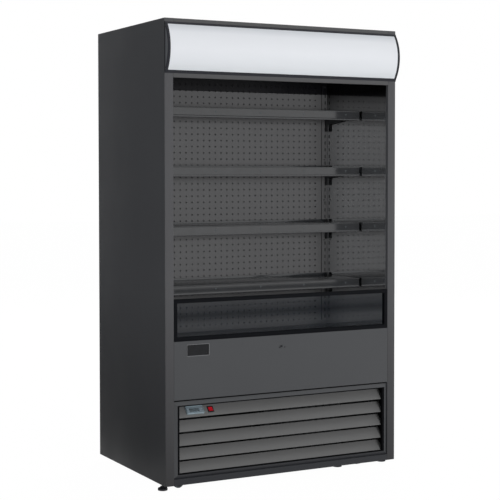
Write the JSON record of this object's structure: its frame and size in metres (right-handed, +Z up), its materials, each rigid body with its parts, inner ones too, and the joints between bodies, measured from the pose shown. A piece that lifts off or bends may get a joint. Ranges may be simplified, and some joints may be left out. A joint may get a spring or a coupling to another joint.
{
  "type": "open multideck display fridge",
  "caption": "Open-front multideck display fridge with a lit curved canopy, hooked shelves, mirrored side walls, low front glass, louvred machine grille, levelling feet and casters.",
  "frame": {"origin": "on the floor under the centre of the bounding box, between the four casters", "axes": "+Z up, the open shop front and the lit canopy face -Y, the rear panel faces +Y, +X to the right as seen by someone standing in front of it"},
  "size_m": [1.175, 0.798, 2.032],
  "materials": {
    "side_paint": "satin dark grey, powder coated",
    "front_paint": "satin mid grey, powder coated",
    "panel_paint": "satin dark grey, powder coated",
    "slat_paint": "satin mid grey, powder coated",
    "black_trim": "satin near-black",
    "black_frame": "semi-gloss black",
    "badge": "black face with a bright rim",
    "diffuser": "opal white, lit from behind",
    "lamp": "opal white tube",
    "interior_steel": "semi-gloss grey",
    "mirror_liner": "dark polished sheet",
    "shelf_paint": "semi-gloss grey",
    "strip_plastic": "glossy grey",
    "bracket_paint": "satin black",
    "glass": "clear, slightly tinted",
    "controller_case": "satin black",
    "clear_cover": "clear blue-grey",
    "red_lens": "translucent red",
    "black_plastic": "satin black",
    "caster_tread": "grey nylon",
    "zinc": "bright zinc plate",
    "compressor_paint": "gloss black",
    "fin_stock": "mill finish"
  },
  "bodies": {
    "cabinet": {"left_side_panel": "side_paint", "right_side_panel": "side_paint", "rear_panel": "side_paint", "top_panel": "front_paint", "header_panel": "front_paint", "insulated_floor": "front_paint", "base_tray": "front_paint", "canopy_end_cap_left": "black_trim", "canopy_end_cap_right": "black_trim", "canopy_housing": "black_trim", "canopy_diffuser": "diffuser", "canopy_light_tube": "lamp", "side_liner_left": "mirror_liner", "side_liner_right": "mirror_liner", "rear_duct_panel": "interior_steel", "ceiling_panel": "interior_steel", "air_curtain_honeycomb": "black_plastic", "upright_left": "interior_steel", "upright_right": "interior_steel", "front_glass_frame": "black_frame", "front_glass": "glass", "front_lower_panel": "panel_paint", "badge_plate": "badge", "deck_pan": "shelf_paint", "return_air_grille": "shelf_paint", "louver_grille": "slat_paint", "controller_body": "controller_case", "switch_body": "black_plastic", "compressor": "compressor_paint", "condenser_coil": "fin_stock", "evaporator_coil": "fin_stock", "evaporator_fan_plate": "fin_stock"},
    "shelf_1": {"shelf_tray_1": "shelf_paint", "ticket_strip_1": "strip_plastic", "shelf_bracket_frame_1": "bracket_paint"},
    "shelf_2": {"shelf_tray_2": "shelf_paint", "ticket_strip_2": "strip_plastic", "shelf_bracket_frame_2": "bracket_paint"},
    "shelf_3": {"shelf_tray_3": "shelf_paint", "ticket_strip_3": "strip_plastic", "shelf_bracket_frame_3": "bracket_paint"},
    "shelf_4": {"shelf_tray_4": "shelf_paint", "ticket_strip_4": "strip_plastic", "shelf_bracket_frame_4": "bracket_paint"},
    "controller_cover": {"controller_cover": "clear_cover"},
    "switch_rocker": {"switch_rocker": "red_lens"},
    "levelling_foot_left": {"levelling_foot_left": "black_plastic"},
    "levelling_foot_middle": {"levelling_foot_middle": "black_plastic"},
    "levelling_foot_right": {"levelling_foot_right": "black_plastic"},
    "caster_front_left": {"caster_fork_front_left": "zinc"},
    "wheel_front_left": {"caster_wheel_front_left": "caster_tread"},
    "caster_front_right": {"caster_fork_front_right": "zinc"},
    "wheel_front_right": {"caster_wheel_front_right": "caster_tread"},
    "caster_rear_left": {"caster_fork_rear_left": "zinc"},
    "wheel_rear_left": {"caster_wheel_rear_left": "caster_tread"},
    "caster_rear_right": {"caster_fork_rear_right": "zinc"},
    "wheel_rear_right": {"caster_wheel_rear_right": "caster_tread"},
    "condenser_fan": {"condenser_fan_blade": "black_plastic"},
    "evaporator_fan_left": {"evaporator_fan_blade_left": "black_plastic"},
    "evaporator_fan_right": {"evaporator_fan_blade_right": "black_plastic"}
  },
  "joints": [
    {"name": "shelf_1_lift", "type": "slide", "parent": "cabinet", "child": "shelf_1", "axis": [0, 0, 1], "range_m": [0, 0.006]},
    {"name": "shelf_2_lift", "type": "slide", "parent": "cabinet", "child": "shelf_2", "axis": [0, 0, 1], "range_m": [0, 0.006]},
    {"name": "shelf_3_lift", "type": "slide", "parent": "cabinet", "child": "shelf_3", "axis": [0, 0, 1], "range_m": [0, 0.006]},
    {"name": "shelf_4_lift", "type": "slide", "parent": "cabinet", "child": "shelf_4", "axis": [0, 0, 1], "range_m": [0, 0.006]},
    {"name": "controller_cover_hinge", "type": "hinge", "parent": "cabinet", "child": "controller_cover", "pos_m": [-0.434, -0.33875, 0.33021], "axis": [1, 0, 0], "range_deg": [0, 90]},
    {"name": "switch_rocker_pivot", "type": "hinge", "parent": "cabinet", "child": "switch_rocker", "pos_m": [-0.357, -0.3284, 0.34452], "axis": [1, 0, 0], "range_deg": [0, 22]},
    {"name": "levelling_foot_left_screw", "type": "slide", "parent": "cabinet", "child": "levelling_foot_left", "axis": [0, 0, -1], "range_m": [-0.01, 0.023]},
    {"name": "levelling_foot_middle_screw", "type": "slide", "parent": "cabinet", "child": "levelling_foot_middle", "axis": [0, 0, -1], "range_m": [0, 0.033]},
    {"name": "levelling_foot_right_screw", "type": "slide", "parent": "cabinet", "child": "levelling_foot_right", "axis": [0, 0, -1], "range_m": [0, 0.033]},
    {"name": "caster_front_left_swivel", "type": "hinge", "parent": "cabinet", "child": "caster_front_left", "pos_m": [-0.458, -0.27, 0.06], "axis": [0, 0, 1], "continuous": true},
    {"name": "wheel_front_left_axle", "type": "hinge", "parent": "caster_front_left", "child": "wheel_front_left", "pos_m": [-0.488, -0.27, 0.025], "axis": [0, 1, 0], "continuous": true},
    {"name": "caster_front_right_swivel", "type": "hinge", "parent": "cabinet", "child": "caster_front_right", "pos_m": [0.458, -0.27, 0.06], "axis": [0, 0, 1], "continuous": true},
    {"name": "wheel_front_right_axle", "type": "hinge", "parent": "caster_front_right", "child": "wheel_front_right", "pos_m": [0.458, -0.24, 0.025], "axis": [1, 0, 0], "continuous": true},
    {"name": "caster_rear_left_swivel", "type": "hinge", "parent": "cabinet", "child": "caster_rear_left", "pos_m": [-0.458, 0.3, 0.06], "axis": [0, 0, 1], "continuous": true},
    {"name": "wheel_rear_left_axle", "type": "hinge", "parent": "caster_rear_left", "child": "wheel_rear_left", "pos_m": [-0.488, 0.3, 0.025], "axis": [0, 1, 0], "continuous": true},
    {"name": "caster_rear_right_swivel", "type": "hinge", "parent": "cabinet", "child": "caster_rear_right", "pos_m": [0.458, 0.3, 0.06], "axis": [0, 0, 1], "continuous": true},
    {"name": "wheel_rear_right_axle", "type": "hinge", "parent": "caster_rear_right", "child": "wheel_rear_right", "pos_m": [0.458, 0.33, 0.025], "axis": [1, 0, 0], "continuous": true},
    {"name": "condenser_fan_spin", "type": "hinge", "parent": "cabinet", "child": "condenser_fan", "pos_m": [0.14, -0.178, 0.2073], "axis": [0, 1, 0], "continuous": true},
    {"name": "evaporator_fan_left_spin", "type": "hinge", "parent": "cabinet", "child": "evaporator_fan_left", "pos_m": [-0.23, -0.066, 0.52], "axis": [0, 1, 0], "continuous": true},
    {"name": "evaporator_fan_right_spin", "type": "hinge", "parent": "cabinet", "child": "evaporator_fan_right", "pos_m": [0.23, -0.066, 0.52], "axis": [0, 1, 0], "continuous": true}
  ]
}
